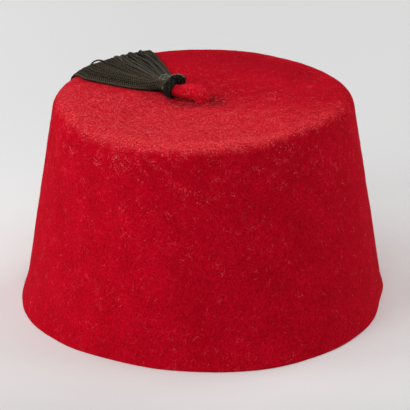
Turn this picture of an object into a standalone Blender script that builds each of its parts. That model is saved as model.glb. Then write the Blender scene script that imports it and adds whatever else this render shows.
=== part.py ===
# A red felt fez with a short black tassel.
# The crown is one blocked felt shell, a truncated cone open below. A felt stem
# comes up through the top and lies over to the left. A ruffled collar grips its
# end, and the tassel's skirt fans from there across the top, over the left back
# edge and a little way down the wall.
# Metres, +Z up. The origin is the middle of the rim, on the surface it rests on.
# The front of the hat faces -Y.

from math import atan2, cos, hypot, pi, radians, sin, sqrt

import bmesh
import bpy
from mathutils import Vector

# Crown
RIM_RADIUS = 0.0930
TOP_RADIUS = 0.0757
CROWN_HEIGHT = 0.1100
EDGE_RADIUS = 0.0070
FELT = 0.0025
TOP_DISH = 0.0020
RIM_BAND = 0.0150
RIM_WAVE = 0.0020
EDGE_PUSH = 0.0042
EDGE_DROP = 0.0022
HOLLOW_DEPTH = 0.0010
PUCKERS = 9
PUCKER_DEPTH = 0.0005
PUCKER_REACH = 0.0110
AROUND = 64

# Stem
ROOT_X = -0.0010
ROOT_Y = -0.0022
STEM_RADIUS = 0.0036
STEM_TIP_RADIUS = 0.0031
STEM_REACH = 0.0147
STEM_TAIL = 0.0065
STEM_AZIMUTH_DEG = 165
STEM_RINGS = 18

# Tassel
NECK_AZIMUTH_DEG = 122
NECK_REACH = 0.0095
NECK_HEIGHT = 0.0074
NECK_WIDTH = 0.0086
HEAD_REACH = 0.0024
HEAD_HEIGHT = 0.0056
HEAD_WIDTH = 0.0054
HEAD_LIFT = 0.0016
COLLAR_WALL = 0.0010
COLLAR_EASE = 0.0005
COLLAR_OPENING = 0.0008
COLLAR_BACK = 0.0012
COLLAR_FRONT = 0.0048
COLLAR_FLARE = 0.0031
COLLAR_LOBE = 0.0042
COLLAR_TURNS = 30
LOCKS = 12
GROOVE_SHARE = 0.34
SPLIT_NARROWING = 0.30
HANG = 0.0360

# Pieces that touch keep this much air between them, and soft pieces that lie on
# the felt keep a little more.
GAP = 0.0003
LYING_GAP = 0.0007
WELD = 0.000002

# The crown's shape in each direction. Shares are of RIM_WAVE outwards at the
# rim, EDGE_RADIUS, EDGE_PUSH inwards at the top edge and EDGE_DROP downwards.
DIRECTIONS = (
    # azimuth_deg, rim_share, edge_share, push_share, drop_share
    (-180, 0.80, 1.00, 0.00, 0.00),
    (-160, 0.85, 1.45, 0.00, 0.35),
    (-140, 0.25, 1.95, 0.15, 1.00),
    (-120, -0.65, 1.50, 0.00, 0.55),
    (-100, 0.05, 1.05, 0.10, 0.00),
    (-70, 1.15, 0.90, 0.60, -0.35),
    (-48, 0.45, 0.80, 1.00, -0.75),
    (-28, -0.15, 0.80, 0.75, -0.60),
    (-8, -0.85, 0.95, 0.20, -0.10),
    (13, 1.15, 1.00, 0.00, 0.00),
    (36, 0.20, 1.05, 0.00, 0.00),
    (75, -0.45, 1.10, 0.00, -0.20),
    (115, 0.15, 1.10, 0.00, -0.20),
    (150, 0.50, 1.00, 0.00, 0.00),
)

# Soft hollows of the wall: where each lies, how far it spreads and how deep it
# is, as shares of CROWN_HEIGHT and of HOLLOW_DEPTH.
HOLLOWS = (
    # azimuth_deg, half_width_deg, height_share, half_height_share, depth_share
    (-128, 22, 0.62, 0.32, 0.90),
    (-84, 20, 0.36, 0.28, 0.45),
    (-46, 20, 0.48, 0.32, 0.70),
    (56, 26, 0.55, 0.34, 0.90),
    (118, 26, 0.44, 0.34, 0.80),
)

# Rows of the crown's mesh: shares of the top's flat radius beyond the hole, of
# the rounded edge and of the wall down to the rim.
TOP_ROWS = (0.0, 0.035, 0.08, 0.14, 0.25, 0.42, 0.62, 0.82)
EDGE_ROWS = (0.0, 0.2, 0.4, 0.6, 0.8)
WALL_ROWS = (0.0, 0.14, 0.32, 0.52, 0.70, 0.84, 0.93, 1.0)
TRIM_MARGIN = 0.0040

# The stem's middle line, from inside the crown to inside the collar: how far
# along STEM_REACH, and how high above the felt as a share of STEM_RADIUS.
STEM_LINE = (
    # reach_share, rise_share
    (0.00, -0.60),
    (0.01, 0.15),
    (0.12, 0.86),
    (0.33, 1.12),
    (0.62, 1.24),
    (0.86, 1.40),
    (1.00, 1.44),
    (1.03, 1.44),
)

# The collar's ruffle round its mouth. Turns run from the top towards the back.
# Shares are of COLLAR_LOBE along the stem and COLLAR_FLARE away from it.
RUFFLE = (
    # turn_deg, lobe_share, flare_share
    (-180, 0.00, 0.05),
    (-140, 0.05, 0.10),
    (-105, 0.12, 0.22),
    (-70, 0.00, 0.10),
    (-38, 0.22, 0.30),
    (-8, 0.30, 0.22),
    (22, 0.62, 0.34),
    (52, 1.00, 0.70),
    (80, 0.66, 0.76),
    (112, 0.20, 0.38),
    (150, 0.05, 0.10),
)

# The skirt from past the neck to the top's edge, laid out flat: each row's near
# and far side, as shares of TOP_RADIUS to the left of the crown's middle and
# behind it, measured along the felt. Heights are shares of NECK_HEIGHT. The head
# and neck before it follow the stem's end, and the hanging rows after it go by HANG.
SKIRT = (
    # near_left, near_back, far_left, far_back, height_share
    (0.3900, 0.1440, 0.2230, 0.2970, 0.66),
    (0.4950, 0.1890, 0.2430, 0.4430, 0.42),
    (0.6080, 0.2430, 0.2800, 0.5750, 0.32),
    (0.7330, 0.3080, 0.3250, 0.7130, 0.27),
    (0.8260, 0.3510, 0.3590, 0.8190, 0.25),
    (0.8770, 0.4020, 0.3830, 0.8720, 0.23),
)
HANG_NEAR_AZIMUTH_DEG = 154
HANG_FAR_AZIMUTH_DEG = 113.5
HANG_DRIFT_DEG = 1.5
HANG_SHORTER_FAR = 0.82
SKIRT_ROWS = (
    0, 0.5, 1, 1.5, 2, 2.5, 3, 3.5, 4, 4.5, 5, 5.5, 6, 6.35, 6.7, 7, 7.2, 7.4, 7.65, 8, 8.5, 9,
)


def smooth(share):
    share = min(max(share, 0.0), 1.0)
    return share * share * (3 - 2 * share)


def mix(first, second, share):
    return first + (second - first) * share


def swell(distance, reach):
    """One at no distance, falling softly to nothing at the reach."""
    return 0.5 + 0.5 * cos(pi * min(abs(distance) / reach, 1.0))


def turn_from(first, second):
    """The angle from the first direction to the second, the short way round."""
    return (second - first + pi) % (2 * pi) - pi


def round_table(table, angle):
    """A table's columns in one direction, its rows set by their first column in degrees."""
    for row, after in zip(table, table[1:] + table[:1]):
        span = radians((after[0] - row[0]) % 360)
        away = (angle - radians(row[0])) % (2 * pi)
        if away <= span:
            share = smooth(away / span)
            return [mix(a, b, share) for a, b in zip(row[1:], after[1:])]
    return list(table[0][1:])


def along_table(table, place):
    """A table's columns between its rows, on a smooth curve through them."""
    last = len(table) - 1
    index = min(int(place), last - 1)
    share = place - index
    before, start = table[max(index - 1, 0)], table[index]
    end, after = table[index + 1], table[min(index + 2, last)]
    found = []
    for a, b, c, d in zip(before, start, end, after):
        bend = 2 * a - 5 * b + 4 * c - d
        twist = 3 * (b - c) + d - a
        found.append(b + 0.5 * share * ((c - a) + share * (bend + share * twist)))
    return found


def wall_lean():
    """The angle by which the wall leans in from upright."""
    return atan2(RIM_RADIUS - TOP_RADIUS, CROWN_HEIGHT)


def edge_runs(azimuth):
    """Distances along the face from the axis to the edge's start, its end and the rim."""
    radius = EDGE_RADIUS * round_table(DIRECTIONS, azimuth)[1]
    lean = wall_lean()
    corner = radius * (1 - sin(lean)) / cos(lean)
    arc = radius * (pi / 2 - lean)
    slant = hypot(RIM_RADIUS - TOP_RADIUS, CROWN_HEIGHT)
    return TOP_RADIUS - corner, TOP_RADIUS - corner + arc, TOP_RADIUS - corner + arc + slant - corner


def plain_profile(azimuth, run):
    """Radius and height of the turned shape, a distance along its face from the axis."""
    start, end, _ = edge_runs(azimuth)
    radius = EDGE_RADIUS * round_table(DIRECTIONS, azimuth)[1]
    lean = wall_lean()
    if run <= start:
        return run, CROWN_HEIGHT
    angle = min(run - start, end - start) / radius
    down = max(run - end, 0.0)
    out = start + radius * sin(angle) + down * sin(lean)
    return out, CROWN_HEIGHT - radius * (1 - cos(angle)) - down * cos(lean)


def felt_point(azimuth, run):
    """The crown's outer face in one direction, a distance along it from the axis."""
    radius, height = plain_profile(azimuth, run)
    rim, _, push, drop = round_table(DIRECTIONS, azimuth)
    outward = smooth(radius / TOP_RADIUS)
    upward = height / CROWN_HEIGHT
    off = RIM_WAVE * rim * (1 - smooth(height / RIM_BAND))
    off -= EDGE_PUSH * push * smooth(upward * 1.7 - 0.7) * outward
    for azimuth_deg, half_width_deg, height_share, half_height_share, depth_share in HOLLOWS:
        off -= (
            HOLLOW_DEPTH
            * depth_share
            * swell(turn_from(azimuth, radians(azimuth_deg)), 2 * radians(half_width_deg))
            * swell(upward - height_share, 2 * half_height_share)
        )
    sunk = TOP_DISH * (1 - outward) + EDGE_DROP * drop * outward * smooth(upward)
    out = radius + off * outward
    away = hypot(out * cos(azimuth) - ROOT_X, out * sin(azimuth) - ROOT_Y)
    turn = atan2(out * sin(azimuth) - ROOT_Y, out * cos(azimuth) - ROOT_X)
    sunk += PUCKER_DEPTH * (0.6 - cos(PUCKERS * turn)) * swell(away, PUCKER_REACH)
    return Vector((out * cos(azimuth), out * sin(azimuth), height - sunk))


def felt_over(across, back, lift=0.0):
    """A point over the felt, from its place on the face laid out flat from the axis."""
    azimuth, run = atan2(back, across), max(hypot(across, back), 1e-5)
    step = 0.0004
    point = felt_point(azimuth, run)
    along = felt_point(azimuth, run + step) - point
    around = felt_point(azimuth + step / run, run) - point
    return point + along.cross(around).normalized() * lift


def add_object(name, points, faces, material):
    mesh = bpy.data.meshes.new(name)
    mesh.from_pydata(points, [], faces)
    mesh.validate()
    mesh.materials.append(material)
    built = bmesh.new()
    built.from_mesh(mesh)
    bmesh.ops.remove_doubles(built, verts=built.verts, dist=WELD)
    bmesh.ops.recalc_face_normals(built, faces=built.faces)
    built.to_mesh(mesh)
    built.free()
    obj = bpy.data.objects.new(name, mesh)
    parts.objects.link(obj)
    return obj


def add_material(name, colour, roughness):
    material = bpy.data.materials.new(name)
    material.use_nodes = True
    shader = material.node_tree.nodes["Principled BSDF"]
    shader.inputs["Base Color"].default_value = (*colour, 1.0)
    shader.inputs["Roughness"].default_value = roughness
    shader.inputs["Metallic"].default_value = 0.0
    return material


def grid_faces(rows, columns, closed):
    """Quads of a grid whose points run along each row, joined round when closed."""
    faces = []
    for row in range(rows - 1):
        for column in range(columns if closed else columns - 1):
            beside = (column + 1) % columns
            here, below = row * columns, (row + 1) * columns
            faces.append((here + column, here + beside, below + beside, below + column))
    return faces


for old in list(bpy.data.objects):
    bpy.data.objects.remove(old)

parts = bpy.data.collections.new("felt_fez")
bpy.context.scene.collection.children.link(parts)
cutters = bpy.data.collections.new("cutters")
bpy.context.scene.collection.children.link(cutters)

red_felt = add_material("red_felt", (0.50, 0.009, 0.024), 0.92)
bright_felt = add_material("bright_felt", (0.60, 0.012, 0.032), 0.90)
black_cord = add_material("black_cord", (0.028, 0.024, 0.018), 0.72)
black_fuzz = add_material("black_fuzz", (0.012, 0.012, 0.010), 0.85)

# The crown's outer face, from the stem's hole to below the rim, thickened
# inwards and trimmed flat where it rests.
hole = STEM_RADIUS + GAP
crown_points = []
crown_rows = len(TOP_ROWS) + len(EDGE_ROWS) + len(WALL_ROWS) + 1
for row in range(crown_rows):
    for column in range(AROUND):
        azimuth = 2 * pi * column / AROUND
        start, end, rim = edge_runs(azimuth)
        if row < len(TOP_ROWS):
            # Rings round the hole grow into rings round the axis.
            share = TOP_ROWS[row]
            ring = hole + (start - hole) * share
            inward = 1 - smooth(share)
            across = ring * cos(azimuth) + ROOT_X * inward
            back = ring * sin(azimuth) + ROOT_Y * inward
        else:
            edge_row = row - len(TOP_ROWS)
            if edge_row < len(EDGE_ROWS):
                run = mix(start, end, EDGE_ROWS[edge_row])
            elif edge_row < len(EDGE_ROWS) + len(WALL_ROWS):
                run = mix(end, rim, WALL_ROWS[edge_row - len(EDGE_ROWS)])
            else:
                run = rim + TRIM_MARGIN
            across = run * cos(azimuth)
            back = run * sin(azimuth)
        crown_points.append(felt_over(across, back))
crown = add_object("crown", crown_points, grid_faces(crown_rows, AROUND, True), red_felt)
thicken = crown.modifiers.new("felt", "SOLIDIFY")
thicken.thickness = FELT
thicken.offset = -1
thicken.use_even_offset = True
bpy.ops.mesh.primitive_cube_add(size=1, location=(0, 0, -0.5 * CROWN_HEIGHT))
rim_cutter = bpy.context.active_object
rim_cutter.name = "rim_cutter"
rim_cutter.scale = (3 * RIM_RADIUS, 3 * RIM_RADIUS, CROWN_HEIGHT)
rim_cutter.display_type = "WIRE"
rim_cutter.hide_render = True
for collection in rim_cutter.users_collection:
    collection.objects.unlink(rim_cutter)
cutters.objects.link(rim_cutter)
trim = crown.modifiers.new("flat_rim", "BOOLEAN")
trim.operation = "DIFFERENCE"
trim.solver = "EXACT"
trim.object = rim_cutter


def stem_point(place):
    """The stem's middle line, by row of its table."""
    reach_share, rise_share = along_table(STEM_LINE, place)
    across = ROOT_X + STEM_REACH * reach_share * cos(radians(STEM_AZIMUTH_DEG))
    back = ROOT_Y + STEM_REACH * reach_share * sin(radians(STEM_AZIMUTH_DEG))
    floor = felt_over(across, back)
    return Vector((across, back, floor.z + STEM_RADIUS * rise_share))


# The stem is a tapering bent tube. Its tail ends plainly under the top.
stem_line = [stem_point(0) - Vector((0, 0, STEM_TAIL))]
stem_last = len(STEM_LINE) - 1
stem_line += [stem_point(stem_last * step / STEM_RINGS) for step in range(STEM_RINGS + 1)]
stem_curve = bpy.data.curves.new("stem", "CURVE")
stem_curve.dimensions = "3D"
stem_curve.bevel_depth = STEM_RADIUS
stem_curve.bevel_resolution = 2
stem_curve.use_fill_caps = True
stem_curve.materials.append(bright_felt)
spline = stem_curve.splines.new("POLY")
spline.points.add(len(stem_line) - 1)
for index, (point, place) in enumerate(zip(spline.points, stem_line)):
    share = index / (len(stem_line) - 1)
    point.co = (*place, 1.0)
    point.radius = mix(1.0, STEM_TIP_RADIUS / STEM_RADIUS, smooth(share * 1.25 - 0.2))
stem = bpy.data.objects.new("stem", stem_curve)
parts.objects.link(stem)

# The collar is a thin sleeve over the stem's end and the head of the skirt. Its
# mouth, towards the stem, is drawn out into a ruffle.
stem_end = stem_point(6)
neck_run = Vector((cos(radians(NECK_AZIMUTH_DEG)), sin(radians(NECK_AZIMUTH_DEG)), 0))
stem_run = (stem_end - stem_point(5)).normalized()
up = Vector((0, 0, 1))
collar_bore = STEM_TIP_RADIUS + GAP + COLLAR_EASE
collar_sections = (
    # along_from_stem_end, bore_radius, ruffle_share
    (COLLAR_FRONT, collar_bore + 2 * COLLAR_EASE, 0.0),
    (0.5 * COLLAR_FRONT, collar_bore + COLLAR_EASE, 0.0),
    (0.0, collar_bore, 0.0),
    (-0.5 * COLLAR_BACK, collar_bore + 0.4 * COLLAR_OPENING, 0.12),
    (-COLLAR_BACK, collar_bore + COLLAR_OPENING, 0.36),
    (-COLLAR_BACK, collar_bore + COLLAR_OPENING, 0.68),
    (-COLLAR_BACK, collar_bore + COLLAR_OPENING, 1.0),
)
collar_points = []
for along, bore, ruffle_share in collar_sections:
    for column in range(COLLAR_TURNS):
        turn = 2 * pi * column / COLLAR_TURNS
        lobe, flare = round_table(RUFFLE, turn)
        run = mix(stem_run, neck_run, smooth(0.5 + along / COLLAR_FRONT)).normalized()
        side = run.cross(up).normalized()
        if side.y < 0:
            side = -side
        over = side.cross(run)
        if over.z < 0:
            over = -over
        away = bore + COLLAR_WALL / 2 + COLLAR_FLARE * flare * ruffle_share**1.6
        place = stem_end + run * (along - COLLAR_LOBE * lobe * ruffle_share)
        place += (over * cos(turn) + side * sin(turn)) * away
        floor = felt_over(place.x, place.y).z + LYING_GAP + COLLAR_WALL / 2
        place.z = max(place.z, floor)
        collar_points.append(place)
collar_faces = grid_faces(len(collar_sections), COLLAR_TURNS, True)
collar = add_object("tassel_collar", collar_points, collar_faces, black_fuzz)
wall = collar.modifiers.new("wall", "SOLIDIFY")
wall.thickness = COLLAR_WALL
wall.offset = 0


def skirt_rows():
    """The skirt's rows from head to free ends: near x and y, far x and y, height, lift."""
    neck_side = Vector((-neck_run.y, neck_run.x, 0))
    rows = []
    for reach, width, height, lift in (
        (HEAD_REACH, HEAD_WIDTH, HEAD_HEIGHT, HEAD_LIFT),
        (NECK_REACH, NECK_WIDTH, NECK_HEIGHT, 0.0),
    ):
        middle = stem_end + neck_run * reach
        near, far = middle + neck_side * width / 2, middle - neck_side * width / 2
        rows.append([near.x, near.y, far.x, far.y, height, lift])
    for near_left, near_back, far_left, far_back, height_share in SKIRT:
        flat = [TOP_RADIUS * value for value in (-near_left, near_back, -far_left, far_back)]
        rows.append([*flat, NECK_HEIGHT * height_share, 0.0])
    over_edge = hypot(rows[-1][0], rows[-1][1])
    for share in (0.5, 1.0):
        near = over_edge + HANG * share
        far = over_edge + HANG * HANG_SHORTER_FAR * share
        near_turn = radians(HANG_NEAR_AZIMUTH_DEG + HANG_DRIFT_DEG * share)
        far_turn = radians(HANG_FAR_AZIMUTH_DEG + HANG_DRIFT_DEG * share)
        flat = (near * cos(near_turn), near * sin(near_turn), far * cos(far_turn), far * sin(far_turn))
        rows.append([*flat, rows[-1][4], 0.0])
    return rows


def skirt_point(place, across_share, high_share):
    """A point of the skirt by row of its table, from near to far and underside to top."""
    near_x, near_y, far_x, far_y, height, lift = along_table(laid_rows, place)
    flat = smooth((place - 0.6) / 2.6)
    side = 2 * across_share - 1
    bulge = mix(sqrt(1 - (0.93 * side) ** 2), 1.0, flat)
    underside = LYING_GAP + lift + 0.5 * height * (1 - bulge)
    top = LYING_GAP + lift + 0.5 * height * (1 + bulge)
    x, y = mix(near_x, far_x, across_share), mix(near_y, far_y, across_share)
    return felt_over(x, y, mix(underside, top, high_share))


def lock_side(lock, across, place):
    """Where a lock's point lies across the skirt. Past its parting a lock is narrower."""
    side = lock + (across > 0)
    alone = 0.0
    if 0 < side < LOCKS:
        alone = min(max((place - parts_at[side]) / 1.6, 0.0), 1.0) ** 0.8
    return (lock + 0.5 + across * (0.5 - 0.5 * SPLIT_NARROWING * alone)) / LOCKS


# The skirt is one closed mesh. Its locks share their sides from the neck to
# where they part, and each then runs on alone to a blunt end.
laid_rows = skirt_rows()
skirt_points = []
skirt_faces = []
columns = 5
parts_at = []
for side in range(LOCKS + 1):
    wanted = mix(8.2, 4.6, smooth(side / LOCKS))
    parts_at.append(max(place for place in SKIRT_ROWS if place <= wanted))
for lock in range(LOCKS):
    first = len(skirt_points)
    trimmed = 0.10 * cos(2.4 * lock)
    for place in SKIRT_ROWS:
        shown = place - trimmed * smooth(place - 8)
        for column in range(columns):
            across = 2 * column / (columns - 1) - 1
            share = lock_side(lock, across, place)
            groove = GROOVE_SHARE * across * across
            skirt_points.append(skirt_point(min(shown, 9), share, 1 - groove))
        for across in (1, -1):
            skirt_points.append(skirt_point(min(shown, 9), lock_side(lock, across, place), 0.0))
    ring = columns + 2
    for row, reached in enumerate(SKIRT_ROWS[1:]):
        for column in range(ring):
            near_side, far_side = column == ring - 1, column == columns - 1
            if near_side and lock > 0 and reached <= parts_at[lock]:
                continue
            if far_side and lock < LOCKS - 1 and reached <= parts_at[lock + 1]:
                continue
            here, below = first + row * ring, first + (row + 1) * ring
            beside = (column + 1) % ring
            skirt_faces.append((here + column, here + beside, below + beside, below + column))
    skirt_faces.append(tuple(first + column for column in range(ring)))
    last = first + (len(SKIRT_ROWS) - 1) * ring
    skirt_faces.append(tuple(last + column for column in range(ring)))
skirt = add_object("tassel_skirt", skirt_points, skirt_faces, black_cord)
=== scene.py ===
import random
from math import atan2, cos, hypot, pi, radians, sin, sqrt

import bmesh
import bpy
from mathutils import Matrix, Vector, noise


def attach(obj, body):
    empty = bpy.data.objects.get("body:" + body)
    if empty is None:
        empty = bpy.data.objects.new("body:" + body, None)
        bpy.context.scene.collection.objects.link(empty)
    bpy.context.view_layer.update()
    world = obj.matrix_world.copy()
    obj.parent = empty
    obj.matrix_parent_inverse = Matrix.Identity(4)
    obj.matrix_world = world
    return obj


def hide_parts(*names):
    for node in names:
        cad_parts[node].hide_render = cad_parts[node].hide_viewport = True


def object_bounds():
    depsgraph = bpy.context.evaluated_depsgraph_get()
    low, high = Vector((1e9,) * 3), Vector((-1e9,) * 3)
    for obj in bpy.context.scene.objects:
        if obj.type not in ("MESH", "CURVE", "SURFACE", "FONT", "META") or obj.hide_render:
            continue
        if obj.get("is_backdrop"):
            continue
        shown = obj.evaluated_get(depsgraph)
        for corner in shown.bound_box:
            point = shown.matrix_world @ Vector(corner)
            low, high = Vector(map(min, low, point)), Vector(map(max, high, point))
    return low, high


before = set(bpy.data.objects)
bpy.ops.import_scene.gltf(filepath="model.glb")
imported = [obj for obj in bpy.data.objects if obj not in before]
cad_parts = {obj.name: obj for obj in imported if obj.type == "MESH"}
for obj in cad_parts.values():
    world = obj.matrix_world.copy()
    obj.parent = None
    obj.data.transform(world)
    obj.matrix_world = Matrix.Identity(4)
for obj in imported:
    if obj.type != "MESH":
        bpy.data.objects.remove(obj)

low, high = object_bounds()

# Crown
# A blocked shell of pressed wool felt, 2.5 mm thick, standing on its cut rim. Its
# top is slightly dished, its edge is worn paler with a painted sheen over the wear,
# the top's colour holds painted light, darker to the back and lighter to the front,
# and soft waves run round the rim.
RIM_RADIUS = 0.0930
TOP_RADIUS = 0.0757
CROWN_HEIGHT = 0.1100
EDGE_RADIUS = 0.0070
FELT = 0.0025
TOP_DISH = 0.0020
RIM_BAND = 0.0150
RIM_WAVE = 0.0020
RIM_ROUNDING = 0.0009
EDGE_PUSH = 0.0042
EDGE_DROP = 0.0022
HOLLOW_DEPTH = 0.0010
PUCKERS = 9
PUCKER_DEPTH = 0.0005
PUCKER_REACH = 0.0110
ROOT_X = -0.0010
ROOT_Y = -0.0022
STEM_RADIUS = 0.0036
GAP = 0.0003
AROUND = 288
TOP_ROWS = 40
EDGE_ROWS = 14
WALL_ROWS = 56
INSIDE_WALL_STEPS = 26.4
INSIDE_EDGE_ROWS = 8
INSIDE_TOP_ROWS = 14
ROUND_STEPS = 4
PALE_EDGE_REACH = 0.009
# The pale edge's reach and directions: its paleness is wear with a painted sheen over it. The top's values
# also paint light, darker to the back and lighter to the front.
PALE_FRONT_DEG = -105
PALE_FRONT_HALF_DEG = 130
PALE_BAND_DEG = -86
PALE_BAND_HALF_DEG = 37
TOP_WEAR_AND_LIGHT = (-0.06, 0.80)
WALL_WEAR = (0.22, 0.05)
EDGE_WEAR_AND_SHEEN = 0.30
BAND_WEAR_AND_SHEEN = 0.50
INSIDE_WEAR = 0.3
RIM_WEAR = 0.25
LUMPS = (
    # reach_m, height_m
    (0.0160, 0.00022),
    (0.0060, 0.00012),
    (0.0024, 0.00005),
)
FELT_DARK = (0.50, 0.0016, 0.0125)
FELT_RED = (0.62, 0.0026, 0.0185)
FELT_DEEP = (0.27, 0.0008, 0.0050)
FELT_PALE = (1.0, 0.135, 0.15)
# The pale worn colour, partly a painted sheen along the front edge.
FELT_PALE_WEAR_AND_SHEEN = (0.86, 0.042, 0.052)
# The colour of the painted shadow round the stem.
FELT_SHADOW_COLOUR = (0.13, 0.0006, 0.003)
STRANDS = (
    # noise_scale, strand_width, patch_scale, strength
    (340.0, 0.022, 75.0, 0.58),
    (650.0, 0.044, 160.0, 0.90),
    (1150.0, 0.072, 240.0, 0.75),
)
# Painted shadow: the felt is painted darker round the stem's root and under it, standing in for its shade.
PAINTED_STEM_SHADOWS = (
    # middle_m, reach_m of the painted shadow in the creases round the stem
    ((ROOT_X + 0.0030, ROOT_Y - 0.0010, CROWN_HEIGHT - 0.003), 0.0130),
    ((ROOT_X - 0.0090, ROOT_Y - 0.0030, CROWN_HEIGHT - 0.003), 0.0110),
)
DIRECTIONS = (
    # azimuth_deg, rim_share, edge_share, push_share, drop_share
    (-180, 0.80, 1.00, 0.00, 0.00),
    (-160, 0.85, 1.45, 0.00, 0.35),
    (-140, 0.25, 1.95, 0.15, 1.00),
    (-120, -0.65, 1.50, 0.00, 0.55),
    (-100, 0.05, 1.05, 0.10, 0.00),
    (-70, 1.15, 0.90, 0.60, -0.35),
    (-48, 0.45, 0.80, 1.00, -0.75),
    (-28, -0.15, 0.80, 0.75, -0.60),
    (-8, -0.85, 0.95, 0.20, -0.10),
    (13, 1.15, 1.00, 0.00, 0.00),
    (36, 0.20, 1.05, 0.00, 0.00),
    (75, -0.45, 1.10, 0.00, -0.20),
    (115, 0.15, 1.10, 0.00, -0.20),
    (150, 0.50, 1.00, 0.00, 0.00),
)
HOLLOWS = (
    # azimuth_deg, half_width_deg, height_share, half_height_share, depth_share
    (-128, 22, 0.62, 0.32, 0.90),
    (-84, 20, 0.36, 0.28, 0.45),
    (-46, 20, 0.48, 0.32, 0.70),
    (56, 26, 0.55, 0.34, 0.90),
    (118, 26, 0.44, 0.34, 0.80),
)


def smooth(share):
    share = min(max(share, 0.0), 1.0)
    return share * share * (3 - 2 * share)


def mix(first, second, share):
    return first + (second - first) * share


def swell(distance, reach):
    """One at no distance, falling softly to nothing at the reach."""
    return 0.5 + 0.5 * cos(pi * min(abs(distance) / reach, 1.0))


def turn_from(first, second):
    return (second - first + pi) % (2 * pi) - pi


def round_table(table, angle):
    """A table's columns in one direction, its rows set by their first column in degrees."""
    for row, after in zip(table, table[1:] + table[:1]):
        span = radians((after[0] - row[0]) % 360)
        away = (angle - radians(row[0])) % (2 * pi)
        if away <= span:
            share = smooth(away / span)
            return [mix(a, b, share) for a, b in zip(row[1:], after[1:])]
    return list(table[0][1:])


def along_table(table, place):
    """A table's columns between its rows, on a smooth curve through them."""
    last = len(table) - 1
    index = min(int(place), last - 1)
    share = place - index
    before, start = table[max(index - 1, 0)], table[index]
    end, after = table[index + 1], table[min(index + 2, last)]
    found = []
    for a, b, c, d in zip(before, start, end, after):
        bend = 2 * a - 5 * b + 4 * c - d
        twist = 3 * (b - c) + d - a
        found.append(b + 0.5 * share * ((c - a) + share * (bend + share * twist)))
    return found


WALL_LEAN = atan2(RIM_RADIUS - TOP_RADIUS, CROWN_HEIGHT)


def edge_runs(azimuth):
    """Distances along the face from the axis to the edge's start, its end and the rim."""
    radius = EDGE_RADIUS * round_table(DIRECTIONS, azimuth)[1]
    corner = radius * (1 - sin(WALL_LEAN)) / cos(WALL_LEAN)
    arc = radius * (pi / 2 - WALL_LEAN)
    slant = hypot(RIM_RADIUS - TOP_RADIUS, CROWN_HEIGHT)
    return TOP_RADIUS - corner, TOP_RADIUS - corner + arc, TOP_RADIUS - corner + arc + slant - corner


def felt_point(azimuth, run):
    """The crown's outer face in one direction, a distance along it from the axis."""
    rim, edge, push, drop = round_table(DIRECTIONS, azimuth)
    arc_radius = EDGE_RADIUS * edge
    start = TOP_RADIUS - arc_radius * (1 - sin(WALL_LEAN)) / cos(WALL_LEAN)
    angle = min(max(run - start, 0.0) / arc_radius, pi / 2 - WALL_LEAN)
    down = max(run - start - arc_radius * (pi / 2 - WALL_LEAN), 0.0)
    radius = min(run, start) + arc_radius * sin(angle) + down * sin(WALL_LEAN)
    height = CROWN_HEIGHT - arc_radius * (1 - cos(angle)) - down * cos(WALL_LEAN)
    outward = smooth(radius / TOP_RADIUS)
    upward = height / CROWN_HEIGHT
    off = RIM_WAVE * rim * (1 - smooth(height / RIM_BAND))
    off -= EDGE_PUSH * push * smooth(upward * 1.7 - 0.7) * outward
    for azimuth_deg, half_width_deg, height_share, half_height_share, depth_share in HOLLOWS:
        off -= (
            HOLLOW_DEPTH
            * depth_share
            * swell(turn_from(azimuth, radians(azimuth_deg)), 2 * radians(half_width_deg))
            * swell(upward - height_share, 2 * half_height_share)
        )
    sunk = TOP_DISH * (1 - outward) + EDGE_DROP * drop * outward * smooth(upward)
    out = radius + off * outward
    x, y = out * cos(azimuth), out * sin(azimuth)
    away = hypot(x - ROOT_X, y - ROOT_Y)
    if away < PUCKER_REACH:
        turn = atan2(y - ROOT_Y, x - ROOT_X)
        sunk += PUCKER_DEPTH * (0.6 - cos(PUCKERS * turn)) * swell(away, PUCKER_REACH)
    return Vector((x, y, height - sunk))


def felt_frame(across, back):
    """A point of the felt and its outward normal, from its place laid out flat."""
    azimuth, run = atan2(back, across), max(hypot(across, back), 1e-5)
    step = 0.0004
    point = felt_point(azimuth, run)
    along = felt_point(azimuth, run + step) - point
    around = felt_point(azimuth + step / run, run) - point
    return point, along.cross(around).normalized()


def felt_over(across, back, lift=0.0):
    point, normal = felt_frame(across, back)
    return point + normal * lift


def lumps_at(point, lumps=LUMPS):
    """The felt's small unevenness at a point."""
    return sum(height * noise.noise(point / reach) for reach, height in lumps)


def grid_faces(rows, columns, closed=False):
    """Quads of a grid whose points run round each row, its last row joined to its first if closed."""
    faces = []
    for row in range(rows if closed else rows - 1):
        for column in range(columns):
            beside = (column + 1) % columns
            here, below = row * columns, (row + 1) % rows * columns
            faces.append((here + column, here + beside, below + beside, below + column))
    return faces


def add_mesh(name, points, faces, material, wear_and_light=None):
    """A smooth closed mesh whose faces are turned outwards."""
    mesh = bpy.data.meshes.new(name)
    mesh.from_pydata(points, [], faces)
    if wear_and_light:
        mesh.attributes.new("wear_and_light", "FLOAT", "POINT").data.foreach_set("value", wear_and_light)
    built = bmesh.new()
    built.from_mesh(mesh)
    bmesh.ops.recalc_face_normals(built, faces=built.faces)
    built.to_mesh(mesh)
    built.free()
    mesh.shade_smooth()
    mesh.materials.append(material)
    obj = bpy.data.objects.new(name, mesh)
    bpy.context.scene.collection.objects.link(obj)
    return obj


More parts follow.
